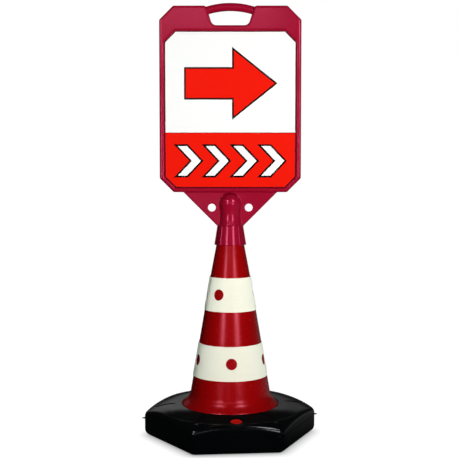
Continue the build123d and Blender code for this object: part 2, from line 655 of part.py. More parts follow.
with BuildPart() as shell_screws:
    with Locations(rear_floor.offset(-SHELL_SCREW_SUNK)):
        with GridLocations(POST_SPACING_X, POST_SPACING_Z, POST_COLUMNS, POST_ROWS):
            Cone(SHELL_SCREW_RADIUS, SHELL_SCREW_HEAD_RADIUS, SHELL_SCREW_HEAD_HEIGHT, align=TOP)
            Cylinder(SHELL_SCREW_RADIUS, FLOOR_DEPTH - SHELL_SCREW_SUNK + SHELL_SCREW_BITE, align=TOP)
shell_screws.part.label = "shell_screws"
export_step(shell_screws.part, "parts/shell_screws.step")

with BuildPart() as front_poster:
    with BuildSketch(post_plane.offset(FLOOR_DEPTH)):
        recess_outline(POSTER_GAP)
    extrude(amount=POSTER_THICKNESS)
front_poster.part.label = "front_poster"
export_step(front_poster.part, "parts/front_poster.step")

with BuildPart() as rear_poster:
    with BuildSketch(rear_floor):
        recess_outline(POSTER_GAP)
    extrude(amount=POSTER_THICKNESS)
rear_poster.part.label = "rear_poster"
export_step(rear_poster.part, "parts/rear_poster.step")
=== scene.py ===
from math import cos, radians, sin

import bmesh
import bpy
from mathutils import Matrix, Vector


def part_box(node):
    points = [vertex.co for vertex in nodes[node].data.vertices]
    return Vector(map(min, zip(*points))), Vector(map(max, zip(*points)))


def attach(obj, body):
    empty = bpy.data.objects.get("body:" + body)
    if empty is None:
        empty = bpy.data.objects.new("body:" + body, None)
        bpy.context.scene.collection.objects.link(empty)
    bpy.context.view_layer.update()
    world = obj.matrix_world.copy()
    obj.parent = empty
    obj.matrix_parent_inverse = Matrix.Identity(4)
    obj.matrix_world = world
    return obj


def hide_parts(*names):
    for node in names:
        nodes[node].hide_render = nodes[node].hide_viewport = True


# Sign bollard with a weighted base, a banded cone and a two-sided sign head.
# Metres, in the CAD's frame: +Z up, the ground at z = 0, the sign facing -Y.

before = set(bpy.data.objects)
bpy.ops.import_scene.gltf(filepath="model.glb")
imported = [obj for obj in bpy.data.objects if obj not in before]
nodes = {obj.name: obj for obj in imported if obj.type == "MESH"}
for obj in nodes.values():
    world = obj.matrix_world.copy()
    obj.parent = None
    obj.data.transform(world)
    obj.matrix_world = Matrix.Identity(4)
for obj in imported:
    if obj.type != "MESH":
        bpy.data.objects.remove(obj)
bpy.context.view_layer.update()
scene = bpy.context.scene
MM = 0.001


def linear(code):
    """An sRGB hex colour as the linear values that sockets take."""
    channels = [int(code[start : start + 2], 16) / 255 for start in (1, 3, 5)]
    return [c / 12.92 if c < 0.04045 else ((c + 0.055) / 1.055) ** 2.4 for c in channels] + [1.0]


def per_metre(size_mm):
    """The texture scale that gives features of this size, on coordinates in metres."""
    return 1000 / size_mm


def add_node(tree, kind, settings=None, inputs=None):
    """Adds a node. Settings are its properties, inputs its sockets: each a value or another's output."""
    node = tree.nodes.new(kind)
    for name, value in (settings or {}).items():
        setattr(node, name, value)
    for name, value in (inputs or {}).items():
        if isinstance(value, bpy.types.NodeSocket):
            tree.links.new(value, node.inputs[name])
        else:
            node.inputs[name].default_value = value
    return node


def new_tree(holder):
    """An empty node tree on a material or the world."""
    holder.use_nodes = True
    holder.node_tree.nodes.clear()
    return holder.node_tree


def new_surface(name):
    """A material with an empty tree, and the outputs that give the place on the piece in metres."""
    material = bpy.data.materials.new(name)
    tree = new_tree(material)
    return material, tree, add_node(tree, "ShaderNodeTexCoord").outputs


def finish_surface(tree, inputs):
    """Ends a material's tree in one shader with these inputs."""
    shader = add_node(tree, "ShaderNodeBsdfPrincipled", inputs=inputs)
    add_node(tree, "ShaderNodeOutputMaterial", inputs={"Surface": shader.outputs[0]})


# Moulded skins. A span is the part of a noise texture's run from 0 to 1 that a mark fades in over.
NOISE_SPAN = (0.3, 0.7)           # nearly all of a noise texture
DRIFT_SPAN = (0.35, 0.7)          # pigment that drifts
HANDLED_SPAN = (0.52, 0.62)       # skin that hands have worn
HANDLED_SHARE = 0.14              # strength of the scratches there
SCRATCH_MM = 2.5                  # noise with peaks about 1 mm wide, coarser than real scratches to show
SCRATCH_DRAWN = (1.0, 1.0, 0.05)  # stretch of the noise, which makes them 20 times as long
SCRATCH_LEAN = (0.5, 0.3, 0.7)    # their turn against the axes, in radians
SCRATCH_SPAN = (0.7, 0.76)        # peaks that are scratches
SCRATCH_ROUGHNESS = 0.5           # roughness that a scratch adds
PEEL_SWING = 0.04                 # roughness that the orange peel adds or takes away
STIPPLE_ROUGHNESS = 0.75          # roughness that a stippled zone adds
STIPPLE_LOSS = 0.75               # share of the gloss that its pits swallow
STIPPLE_FADE_MM = 8.0             # width over which it fades out
STIPPLE_FRONT = (-0.6, -0.3)      # shares of its radius between which it fades out towards the rear
EDGE_SAMPLES = 8                  # rays that look for the edges of a piece


def moulded_skin(
    name, colour, drift, scuff, flow_mm, roughness, gloss, peel_mm, peel_depth_mm, grain_mm, grain_depth_mm,
    edge_mm=0.0, matte_front_mm=None, more=None,
):
    """A moulded plastic skin: pigment that drifts in broad flow marks, the mould's orange peel and
    fine grain, and hair scratches from handling. Edges are shaded as rounded by this much.
    A matte front is a stippled zone inside this radius."""
    material, tree, where = new_surface(name)
    place = where["Object"]
    flow = add_node(
        tree,
        "ShaderNodeTexNoise",
        inputs={"Vector": place, "Scale": per_metre(flow_mm), "Detail": 3.0, "Roughness": 0.55},
    )
    share = add_node(
        tree,
        "ShaderNodeMapRange",
        inputs={"Value": flow.outputs[0], "From Min": DRIFT_SPAN[0], "From Max": DRIFT_SPAN[1]},
    )
    pigment = add_node(
        tree,
        "ShaderNodeMix",
        {"data_type": "RGBA"},
        {0: share.outputs[0], 6: linear(colour), 7: linear(drift)},
    )
    stretch = add_node(
        tree,
        "ShaderNodeMapping",
        inputs={"Vector": place, "Rotation": SCRATCH_LEAN, "Scale": SCRATCH_DRAWN},
    )
    scratch = add_node(
        tree,
        "ShaderNodeTexNoise",
        inputs={"Vector": stretch.outputs[0], "Scale": per_metre(SCRATCH_MM), "Detail": 1.0},
    )
    hairs = add_node(
        tree,
        "ShaderNodeMapRange",
        inputs={"Value": scratch.outputs[0], "From Min": SCRATCH_SPAN[0], "From Max": SCRATCH_SPAN[1]},
    )
    handled = add_node(
        tree,
        "ShaderNodeMapRange",
        inputs={
            "Value": flow.outputs[0],
            "From Min": HANDLED_SPAN[0],
            "From Max": HANDLED_SPAN[1],
            "To Max": HANDLED_SHARE,
        },
    )
    worn = add_node(
        tree,
        "ShaderNodeMath",
        {"operation": "MULTIPLY"},
        {0: hairs.outputs[0], 1: handled.outputs[0]},
    )
    skin_colour = add_node(
        tree,
        "ShaderNodeMix",
        {"data_type": "RGBA"},
        {0: worn.outputs[0], 6: pigment.outputs[2], 7: linear(scuff)},
    )
    peel = add_node(
        tree,
        "ShaderNodeTexNoise",
        inputs={"Vector": place, "Scale": per_metre(peel_mm), "Detail": 2.0},
    )
    sheen = add_node(
        tree,
        "ShaderNodeMapRange",
        inputs={
            "Value": peel.outputs[0],
            "From Min": NOISE_SPAN[0],
            "From Max": NOISE_SPAN[1],
            "To Min": roughness - PEEL_SWING,
            "To Max": roughness + PEEL_SWING,
        },
    )
    skin_roughness = add_node(
        tree,
        "ShaderNodeMath",
        {"operation": "MULTIPLY_ADD"},
        {0: worn.outputs[0], 1: SCRATCH_ROUGHNESS, 2: sheen.outputs[0]},
    )
    if matte_front_mm:
        level = add_node(
            tree, "ShaderNodeVectorMath", {"operation": "MULTIPLY"}, {0: place, 1: (1.0, 1.0, 0.0)}
        )
        reach = add_node(tree, "ShaderNodeVectorMath", {"operation": "LENGTH"}, {0: level.outputs[0]})
        inside = add_node(
            tree,
            "ShaderNodeMapRange",
            {"interpolation_type": "SMOOTHSTEP"},
            {
                "Value": reach.outputs["Value"],
                "From Min": (matte_front_mm - STIPPLE_FADE_MM) * MM,
                "From Max": matte_front_mm * MM,
                "To Min": 1.0,
                "To Max": 0.0,
            },
        )
        depth = add_node(tree, "ShaderNodeSeparateXYZ", inputs={0: place}).outputs["Y"]
        forward = add_node(
            tree,
            "ShaderNodeMapRange",
            {"interpolation_type": "SMOOTHSTEP"},
            {
                "Value": depth,
                "From Min": STIPPLE_FRONT[0] * matte_front_mm * MM,
                "From Max": STIPPLE_FRONT[1] * matte_front_mm * MM,
                "To Min": 1.0,
                "To Max": 0.0,
            },
        )
        stipple = add_node(
            tree,
            "ShaderNodeMath",
            {"operation": "MULTIPLY"},
            {0: inside.outputs[0], 1: forward.outputs[0]},
        )
        skin_roughness = add_node(
            tree,
            "ShaderNodeMath",
            {"operation": "MULTIPLY_ADD"},
            {0: stipple.outputs[0], 1: STIPPLE_ROUGHNESS, 2: skin_roughness.outputs[0]},
        )
        gloss = add_node(
            tree,
            "ShaderNodeMath",
            {"operation": "MULTIPLY_ADD"},
            {0: stipple.outputs[0], 1: -STIPPLE_LOSS * gloss, 2: gloss},
        ).outputs[0]
    grain = add_node(
        tree,
        "ShaderNodeTexNoise",
        inputs={"Vector": place, "Scale": per_metre(grain_mm), "Detail": 2.0},
    )
    waviness = {"Height": peel.outputs[0], "Distance": peel_depth_mm * MM}
    if edge_mm:
        rounded = add_node(tree, "ShaderNodeBevel", {"samples": EDGE_SAMPLES}, {"Radius": edge_mm * MM})
        waviness["Normal"] = rounded.outputs[0]
    rise = add_node(tree, "ShaderNodeBump", inputs=waviness)
    skin = add_node(
        tree,
        "ShaderNodeBump",
        inputs={"Height": grain.outputs[0], "Distance": grain_depth_mm * MM, "Normal": rise.outputs[0]},
    )
    finish_surface(
        tree,
        {
            "Base Color": skin_colour.outputs[2],
            "Roughness": skin_roughness.outputs[0],
            "Specular IOR Level": gloss,
            "Normal": skin.outputs[0],
            **(more or {}),
        },
    )
    return material


# Bead sheeting
CELL_WALL_SPAN = (0.02, 0.1)  # distance from a cell's edge, in cells, over which its sealed wall fades out
CELL_DEPTH_MM = 0.01          # how deep the walls are pressed
CELL_STRENGTH = 0.5
BEAD_DEPTH_MM = 0.004
BEAD_ROUGHNESS = (0.42, 0.58)


def bead_sheeting(name, colour, seal, cell_mm, bead_mm, edge_tint):
    """Pale sheeting of glass beads under a clear skin, sealed in small cells: even and matte,
    with little fall-off towards its edges, where it turns a little green."""
    material, tree, where = new_surface(name)
    cells = add_node(
        tree,
        "ShaderNodeTexVoronoi",
        {"feature": "DISTANCE_TO_EDGE"},
        {"Vector": where["Object"], "Scale": per_metre(cell_mm)},
    )
    walls = add_node(
        tree,
        "ShaderNodeMapRange",
        inputs={
            "Value": cells.outputs[0],
            "From Min": CELL_WALL_SPAN[0],
            "From Max": CELL_WALL_SPAN[1],
            "To Min": 1.0,
            "To Max": 0.0,
        },
    )
    paint = add_node(
        tree,
        "ShaderNodeMix",
        {"data_type": "RGBA"},
        {0: walls.outputs[0], 6: linear(colour), 7: linear(seal)},
    )
    beads = add_node(
        tree,
        "ShaderNodeTexNoise",
        inputs={"Vector": where["Object"], "Scale": per_metre(bead_mm), "Detail": 2.0},
    )
    sheen = add_node(
        tree,
        "ShaderNodeMapRange",
        inputs={
            "Value": beads.outputs[0],
            "From Min": NOISE_SPAN[0],
            "From Max": NOISE_SPAN[1],
            "To Min": BEAD_ROUGHNESS[0],
            "To Max": BEAD_ROUGHNESS[1],
        },
    )
    pressed = add_node(
        tree,
        "ShaderNodeBump",
        inputs={"Height": cells.outputs[0], "Distance": CELL_DEPTH_MM * MM, "Strength": CELL_STRENGTH},
    )
    skin = add_node(
        tree,
        "ShaderNodeBump",
        inputs={"Height": beads.outputs[0], "Distance": BEAD_DEPTH_MM * MM, "Normal": pressed.outputs[0]},
    )
    finish_surface(
        tree,
        {
            "Base Color": paint.outputs[2],
            "Roughness": sheen.outputs[0],
            "Specular IOR Level": 0.4,
            "Diffuse Roughness": 0.9,
            "Sheen Weight": 0.25,
            "Sheen Roughness": 0.8,
            "Sheen Tint": linear(edge_tint),
            "Normal": skin.outputs[0],
        },
    )
    return material


# Film and ink
FILM_WAVE_MM = 40             # waves that the roller leaves in the film
FILM_WAVE_DEPTH_MM = 0.05
FILM_ROUGHNESS = (0.38, 0.46)
INK_MESH_MM = 1.2             # drawn coarser to show: a real mesh has about eight threads to the millimetre
INK_MESH_DEPTH_MM = 0.004


def printed_film(name, colour, edge_shade):
    """Calendered vinyl film, smooth and half matt. Its cut edges, the faces that don't face front or back,
    are painted dark crimson: painted shade where the film meets the recess wall.
    """
    material, tree, where = new_surface(name)
    facing = add_node(tree, "ShaderNodeSeparateXYZ", inputs={0: where["Normal"]}).outputs["Y"]
    flat = add_node(tree, "ShaderNodeMath", {"operation": "ABSOLUTE"}, {0: facing})
    # the faces that don't face front or back take the painted shade colour
    paint = add_node(
        tree,
        "ShaderNodeMix",
        {"data_type": "RGBA"},
        {0: flat.outputs[0], 6: linear(edge_shade), 7: linear(colour)},
    )
    waves = add_node(
        tree,
        "ShaderNodeTexNoise",
        inputs={"Vector": where["Object"], "Scale": per_metre(FILM_WAVE_MM), "Detail": 2.0},
    )
    sheen = add_node(
        tree,
        "ShaderNodeMapRange",
        inputs={
            "Value": waves.outputs[0],
            "From Min": NOISE_SPAN[0],
            "From Max": NOISE_SPAN[1],
            "To Min": FILM_ROUGHNESS[0],
            "To Max": FILM_ROUGHNESS[1],
        },
    )
    skin = add_node(
        tree, "ShaderNodeBump", inputs={"Height": waves.outputs[0], "Distance": FILM_WAVE_DEPTH_MM * MM}
    )
    finish_surface(
        tree,
        {
            "Base Color": paint.outputs[2],
            "Roughness": sheen.outputs[0],
            "Specular IOR Level": 0.2,
            "Normal": skin.outputs[0],
        },
    )
    return material


def screen_ink(name, colour, thin):
    """Screen-printed ink: flat and half matt, a little thinner where the mesh lay."""
    material, tree, where = new_surface(name)
    mesh = add_node(
        tree,
        "ShaderNodeTexNoise",
        inputs={"Vector": where["Object"], "Scale": per_metre(INK_MESH_MM), "Detail": 1.0},
    )
    paint = add_node(
        tree,
        "ShaderNodeMix",
        {"data_type": "RGBA"},
        {0: mesh.outputs[0], 6: linear(colour), 7: linear(thin)},
    )
    skin = add_node(
        tree, "ShaderNodeBump", inputs={"Height": mesh.outputs[0], "Distance": INK_MESH_DEPTH_MM * MM}
    )
    finish_surface(
        tree,
        {
            "Base Color": paint.outputs[2],
            "Roughness": 0.42,
            "Specular IOR Level": 0.05,
            "Normal": skin.outputs[0],
        },
    )
    return material


# Hidden pieces
CRYSTAL_ROUGHNESS = (0.24, 0.4)
CRYSTAL_DEPTH_MM = 0.01
GRAIN_ROUND = 0.5             # height of a grain's rounded top, as a share of its size
PIT_DEPTH_MM = 0.02


def zinc_plate(name, bright, dull, crystal_mm):
    """Steel with bright zinc plating: fine crystals of slightly different greys and gloss."""
    material, tree, where = new_surface(name)
    crystals = add_node(
        tree, "ShaderNodeTexVoronoi", inputs={"Vector": where["Object"], "Scale": per_metre(crystal_mm)}
    )
    tone = add_node(tree, "ShaderNodeSeparateColor", inputs={0: crystals.outputs["Color"]}).outputs[0]
    paint = add_node(
        tree, "ShaderNodeMix", {"data_type": "RGBA"}, {0: tone, 6: linear(bright), 7: linear(dull)}
    )
    sheen = add_node(
        tree,
        "ShaderNodeMapRange",
        inputs={"Value": tone, "To Min": CRYSTAL_ROUGHNESS[0], "To Max": CRYSTAL_ROUGHNESS[1]},
    )
    skin = add_node(
        tree,
        "ShaderNodeBump",
        inputs={"Height": crystals.outputs["Distance"], "Distance": CRYSTAL_DEPTH_MM * MM},
    )
    finish_surface(
        tree,
        {
            "Base Color": paint.outputs[2],
            "Metallic": 1.0,
            "Roughness": sheen.outputs[0],
            "Normal": skin.outputs[0],
        },
    )
    return material


def loose_sand(name, pale, dark, grain_mm):
    """Washed sand: grains of quartz and darker stone, each with its own tone and its own rounded top."""
    material, tree, where = new_surface(name)
    grains = add_node(
        tree, "ShaderNodeTexVoronoi", inputs={"Vector": where["Object"], "Scale": per_metre(grain_mm)}
    )
    tone = add_node(tree, "ShaderNodeSeparateColor", inputs={0: grains.outputs["Color"]}).outputs[0]
    paint = add_node(
        tree, "ShaderNodeMix", {"data_type": "RGBA"}, {0: tone, 6: linear(pale), 7: linear(dark)}
    )
    skin = add_node(
        tree,
        "ShaderNodeBump",
        {"invert": True},
        {"Height": grains.outputs["Distance"], "Distance": GRAIN_ROUND * grain_mm * MM},
    )
    finish_surface(
        tree, {"Base Color": paint.outputs[2], "Roughness": 0.9, "Normal": skin.outputs[0]}
    )
    return material


def moulded_rubber(name, colour, bloom, bloom_mm, pit_mm):
    """Nitrile rubber from a plain mould: dull black, with a grey bloom and small pits."""
    material, tree, where = new_surface(name)
    cloud = add_node(
        tree,
        "ShaderNodeTexNoise",
        inputs={"Vector": where["Object"], "Scale": per_metre(bloom_mm), "Detail": 4.0},
    )
    paint = add_node(
        tree,
        "ShaderNodeMix",
        {"data_type": "RGBA"},
        {0: cloud.outputs[0], 6: linear(colour), 7: linear(bloom)},
    )
    pits = add_node(
        tree, "ShaderNodeTexVoronoi", inputs={"Vector": where["Object"], "Scale": per_metre(pit_mm)}
    )
    skin = add_node(
        tree, "ShaderNodeBump", inputs={"Height": pits.outputs["Distance"], "Distance": PIT_DEPTH_MM * MM}
    )
    finish_surface(
        tree,
        {
            "Base Color": paint.outputs[2],
            "Roughness": 0.65,
            "Specular IOR Level": 0.3,
            "Normal": skin.outputs[0],
        },
    )
    return material


# Rotomoulded polyethylene, dyed red: a waxy half gloss whose highlights keep some of the dye
cone_red = moulded_skin(
    "polyethylene_red", colour="#a60103", drift="#9c0102", scuff="#b01c1e", flow_mm=90,
    roughness=0.24, gloss=0.72, peel_mm=9, peel_depth_mm=0.02, grain_mm=1.6, grain_depth_mm=0.002,
    more={"IOR": 1.5, "Specular Tint": linear("#ff8ba4")},
)
# Injection-moulded polypropylene, dyed crimson: an even gloss from a smooth mould, and rounded edges
sign_crimson = moulded_skin(
    "polypropylene_crimson", colour="#a00c2d", drift="#9a0a29", scuff="#a82442", flow_mm=70,
    roughness=0.16, gloss=0.8, peel_mm=5, peel_depth_mm=0.004, grain_mm=1.2, grain_depth_mm=0.001,
    edge_mm=3.0, more={"IOR": 1.49, "Specular Tint": linear("#ff80a8")},
)
# Blow-moulded polyethylene, black: slightly uneven walls, a soft gloss and a stippled top by the filler
tank_black = moulded_skin(
    "polyethylene_black", colour="#030506", drift="#050708", scuff="#26282a", flow_mm=60,
    roughness=0.12, gloss=0.3, peel_mm=14, peel_depth_mm=0.06, grain_mm=1.8, grain_depth_mm=0.004,
    matte_front_mm=174, more={"IOR": 1.5},
)
# Injection-moulded polyethylene, dyed a brighter red than the cone: a dull skin with hardly a highlight
plug_red = moulded_skin(
    "polyethylene_plug_red", colour="#e2180c", drift="#d8160a", scuff="#c0504a", flow_mm=20,
    roughness=0.3, gloss=0.15, peel_mm=5, peel_depth_mm=0.03, grain_mm=1.2, grain_depth_mm=0.005,
    more={"IOR": 1.5},
)
# Glass-bead sheeting, heat-sealed in cells: an even ivory with hardly a highlight. Real beads are finer.
band_ivory = bead_sheeting(
    "bead_sheeting_ivory", colour="#fffdf0", seal="#faf8ea", cell_mm=5, bead_mm=0.9, edge_tint="#a8ffb4"
)
# Calendered vinyl, white: a clean half matt sheet, with painted shade on its cut edges
film_white = printed_film("vinyl_white", colour="#fdfefb", edge_shade="#4a0614")
# Screen-printed inks: flat colours with a crisp edge
ink_red = screen_ink("ink_red", colour="#f41503", thin="#f01904")
# the crimson is print round the red field, and painted shade in the line round the film's edge
crimson_ink_and_shade = screen_ink("crimson_ink_and_shade", colour="#4a0614", thin="#500818")
ink_black = screen_ink("ink_black", colour="#060405", thin="#0a0708")
# Compression-moulded nitrile rubber: dull and black
seal_rubber = moulded_rubber("nitrile_rubber", colour="#121212", bloom="#242424", bloom_mm=8, pit_mm=0.8)
# Zinc-plated steel: a bright grey that sparkles a little. Real crystals are finer.
zinc = zinc_plate("zinc_plate", bright="#c4c8cc", dull="#9ea4ac", crystal_mm=0.8)
# Washed river sand: a warm mix of pale and dark grains
sand = loose_sand("washed_sand", pale="#d2bd90", dark="#8a7048", grain_mm=1.4)

finishes = {
    "base_tank": tank_black,
    "sand_fill": sand,
    "fill_plug": plug_red,
    "plug_seal": seal_rubber,
    "cone": cone_red,
    "lower_band": band_ivory,
    "upper_band": band_ivory,
    "cone_washers": zinc,
    "sign_front_shell": sign_crimson,
    "sign_rear_shell": sign_crimson,
    "front_poster": film_white,
    "rear_poster": film_white,
}
for name, finish in finishes.items():
    nodes[name].data.materials.clear()
    nodes[name].data.materials.append(finish)


def new_piece(name, bm, materials, body):
    """Makes a piece of a finished mesh, on a body."""
    mesh = bpy.data.meshes.new(name)
    bm.to_mesh(mesh)
    bm.free()
    for material in materials:
        mesh.materials.append(material)
    piece = bpy.data.objects.new(name, mesh)
    scene.collection.objects.link(piece)
    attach(piece, body)
    return piece


# Screws, in millimetres from the end of the head, with the shank up
RING = 24                     # sides of a turned form
pan_head = [(4.3, 0.0), (5.1, 0.5), (5.5, 1.5), (5.5, 4.0)]
countersunk_head = [(3.7, 0.0), (3.8, 0.2), (1.8, 2.0)]
THREAD_DEPTH = 0.45
TIP_TAPER = 0.7               # inset and rise of the blunt tip
SHANK_OVERLAP = 0.2           # length of the shank that is sunk in the head
RECESS_ARM = 1 / 3            # width of a cross recess's arm, as a share of its span
RECESS_TAPER = 0.6            # size of its floor, as a share of its mouth
RECESS_DEPTH = 0.5            # depth, as a share of the head's height
MERGE = 0.002                 # distance at which the turns of a thread are merged
CUT_TOLERANCE = 0.0001


def ring_edges(bm, radius, height):
    """A ring of edges round the screw's axis."""
    ring = bmesh.ops.create_circle(
        bm, segments=RING, radius=radius * MM, matrix=Matrix.Translation((0, 0, height * MM))
    )
    return list({edge for vert in ring["verts"] for edge in vert.link_edges})


def drawn_out(bm, edges, shrink, rise):
    """Extrudes a ring of edges along the axis and scales it. Gives the new ring's edges."""
    new = bmesh.ops.extrude_edge_only(bm, edges=edges)["geom"]
    verts = [item for item in new if isinstance(item, bmesh.types.BMVert)]
    bmesh.ops.scale(bm, vec=(shrink, shrink, 1), verts=verts)
    bmesh.ops.translate(bm, vec=(0, 0, rise * MM), verts=verts)
    return [item for item in new if isinstance(item, bmesh.types.BMEdge)]


def screw_head(bm, profile, cross, depth):
    """A head turned to a profile of radius and height, with a cross recess of this span in its end."""
    arm = cross * RECESS_ARM / 2
    reach = cross / 2
    corners = []
    for turn in range(4):
        quarter = Matrix.Rotation(radians(90 * turn), 3, "Z")
        for x, y in ((arm, arm), (arm, reach), (-arm, reach)):
            corners.append(bm.verts.new(quarter @ Vector((x * MM, y * MM, 0))))
    recess = [bm.edges.new((corners[i - 1], corners[i])) for i in range(len(corners))]
    outer = ring_edges(bm, *profile[0])
    bmesh.ops.triangle_fill(bm, use_beauty=True, edges=recess + outer)
    floor_edges = drawn_out(bm, recess, RECESS_TAPER, depth)
    bmesh.ops.contextual_create(bm, geom=floor_edges)
    ring = outer
    for (radius, height), (next_radius, next_height) in zip(profile, profile[1:]):
        ring = drawn_out(bm, ring, next_radius / radius, next_height - height)
    bmesh.ops.contextual_create(bm, geom=ring)


def screw_thread(bm, start, end, crest, pitch):
    """A threaded shank: one pitch of the thread's flanks, turned up the axis and cut to length."""
    section = [(crest - THREAD_DEPTH, 0.0), (crest, pitch / 2), (crest - THREAD_DEPTH, pitch)]
    verts = [bm.verts.new((r * MM, 0, (start - pitch + z) * MM)) for r, z in section]
    flanks = [bm.edges.new(pair) for pair in zip(verts, verts[1:])]
    turns = int((end - start) / pitch) + 2
    bmesh.ops.spin(
        bm,
        geom=verts + flanks,
        cent=(0, 0, 0),
        axis=(0, 0, 1),
        dvec=(0, 0, pitch / RING * MM),
        angle=radians(360 * turns),
        steps=RING * turns,
    )
    bmesh.ops.remove_doubles(bm, verts=bm.verts, dist=MERGE * MM)
    for height, side in ((start, -1), (end, 1)):
        cut = bmesh.ops.bisect_plane(
            bm,
            geom=bm.verts[:] + bm.edges[:] + bm.faces[:],
            dist=CUT_TOLERANCE * MM,
            plane_co=(0, 0, height * MM),
            plane_no=(0, 0, side),
            clear_outer=True,
        )
        rim = [item for item in cut["geom_cut"] if isinstance(item, bmesh.types.BMEdge)]
        cap = bmesh.ops.edgeloop_fill(bm, edges=rim)["faces"]
    bmesh.ops.inset_region(
        bm,
        faces=cap,
        thickness=TIP_TAPER * MM,
        depth=TIP_TAPER * MM,
        use_even_offset=True,
        use_boundary=True,
    )


def driven_screw(head, crest, pitch, length, cross):
    """One whole screw as a mesh of its own."""
    shank = bmesh.new()
    screw_thread(shank, head[-1][1] - SHANK_OVERLAP, length - TIP_TAPER, crest, pitch)
    mesh = bpy.data.meshes.new("screw")
    shank.to_mesh(mesh)
    shank.free()
    bm = bmesh.new()
    screw_head(bm, head, cross, head[-1][1] * RECESS_DEPTH)
    bm.from_mesh(mesh)
    bmesh.ops.recalc_face_normals(bm, faces=bm.faces)
    bm.to_mesh(mesh)
    bm.free()
    return mesh


def screw_set(name, node, screw, places, body):
    """Copies of one screw at these places, in the stead of a CAD node."""
    bm = bmesh.new()
    for place in places:
        first = len(bm.verts)
        bm.from_mesh(screw)
        bm.verts.ensure_lookup_table()
        bmesh.ops.transform(bm, matrix=place, verts=bm.verts[first:])
    piece = new_piece(name, bm, [zinc], body)
    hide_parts(node)


CONE_SCREWS = 6
CONE_SCREW_CIRCLE = 86        # radius of the circle of screws
CONE_SCREW_TURN = 5           # degrees that the circle is turned
low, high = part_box("cone_screws")
cone_places = []
for number in range(CONE_SCREWS):
    turn = Matrix.Rotation(radians(CONE_SCREW_TURN + 360 / CONE_SCREWS * number), 4, "Z")
    cone_places.append(turn @ Matrix.Translation((CONE_SCREW_CIRCLE * MM, 0, low.z)))
cone_screw = driven_screw(pan_head, crest=3.0, pitch=1.6, length=(high.z - low.z) / MM, cross=5.4)
screw_set("cone_fixing_screws", "cone_screws", cone_screw, cone_places, "stand")

SHELL_ROWS = 4
low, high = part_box("shell_screws")
head_radius = countersunk_head[1][0] * MM
column = high.x - head_radius
foot_row = low.z + head_radius
head_row = high.z - head_radius
shell_places = []
for row in range(SHELL_ROWS):
    height = foot_row + (head_row - foot_row) * row / (SHELL_ROWS - 1)
    for x in (-column, column):
        turned = Matrix.Rotation(radians(90), 4, "X")
        shell_places.append(Matrix.Translation((x, high.y, height)) @ turned)
shell_screw = driven_screw(countersunk_head, crest=1.8, pitch=1.4, length=(high.y - low.y) / MM, cross=3.6)
screw_set("shell_fixing_screws", "shell_screws", shell_screw, shell_places, "sign_head")


# Print on the posters, and a crimson line of painted shade round each film's edge, in millimetres from the
# middle of the poster's foot
print_inks = [ink_red, ink_black, film_white, crimson_ink_and_shade]
RED, BLACK, WHITE, CRIMSON_AND_SHADE = range(len(print_inks))
INK = 0.08                    # thickness that keeps each layer of ink clear of the one below
FRAME_SHADE = 2.2              # dark crimson line round the film's edge: painted shade where the film meets the recess wall
FIELD_LINE = 1.2              # printed line round the red field
OUTLINE = 4.0                 # printed line round the arrow and the chevrons
FIELD_TOP = 127.0             # height of the red field
POSTER_CUT = 25.2             # cut of the film's corners, along each side
CHEVRONS = 4
CHEVRON_PITCH = 64.0
arrow_shape = [(-106, 202), (4, 202), (4, 156), (108, 239), (4, 322), (4, 276), (-106, 276)]
chevron_shape = [(-34, 24), (-2, 24), (34, 62), (-2, 100), (-34, 100), (2, 62)]


def ink_shape(bm, corners, side, layer, outline, line, fill=None):
    """A closed film of ink with an outline, or without a fill only the outline.
    Corners run anticlockwise as the reader sees them."""
    face = bm.faces.new([bm.verts.new((x * side * MM, 0, z * MM)) for x, z in corners])
    face.normal_update()
    ring = bmesh.ops.inset_region(
        bm, faces=[face], thickness=outline * MM, use_even_offset=True, use_boundary=True
    )
    whole = ring["faces"]
    for edge_face in whole:
        edge_face.material_index = line
    if fill is None:
        bmesh.ops.delete(bm, geom=[face], context="FACES_ONLY")
    else:
        face.material_index = fill
        whole = whole + [face]
    under = bmesh.ops.extrude_face_region(bm, geom=whole, use_keep_orig=True)
    top = [item for item in under["geom"] if isinstance(item, bmesh.types.BMVert)]
    foot = {vert for part in whole for vert in part.verts}
    bmesh.ops.translate(bm, verts=list(foot), vec=(0, -side * layer * INK * MM, 0))
    bmesh.ops.translate(bm, verts=top, vec=(0, -side * (layer + 1) * INK * MM, 0))


def poster_print(name, poster, side):
    """The red field, arrow and chevrons of one poster, and a crimson line of painted shade round its edge.
    Side is 1 at the front and -1 at the rear."""
    low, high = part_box(poster)
    edge = high.x / MM
    top = (high.z - low.z) / MM
    foot = [(edge - POSTER_CUT, 0), (edge, POSTER_CUT)]
    head = [(edge, top - POSTER_CUT), (edge - POSTER_CUT, top)]
    field_right = foot + [(edge, FIELD_TOP)]
    field_shape = field_right + [(-x, z) for x, z in reversed(field_right)]
    frame_shape = foot + head + [(-x, z) for x, z in reversed(foot + head)]
    bm = bmesh.new()
    ink_shape(bm, field_shape, side, 0, FIELD_LINE, CRIMSON_AND_SHADE, RED)
    # crimson line round the film's edge: painted shade where the film meets the recess wall
    ink_shape(bm, frame_shape, side, 1, FRAME_SHADE, CRIMSON_AND_SHADE)
    ink_shape(bm, arrow_shape, side, 0, OUTLINE, BLACK, RED)
    for place in range(CHEVRONS):
        shift = (place - (CHEVRONS - 1) / 2) * CHEVRON_PITCH
        ink_shape(bm, [(x + shift, z) for x, z in chevron_shape], side, 1, OUTLINE, BLACK, WHITE)
    bmesh.ops.recalc_face_normals(bm, faces=bm.faces)
    face_y = low.y if side > 0 else high.y
    bmesh.ops.translate(bm, verts=bm.verts, vec=(0, face_y, low.z))
    new_piece(name, bm, print_inks, "sign_head")


poster_print("front_print", "front_poster", 1)
poster_print("rear_print", "rear_poster", -1)


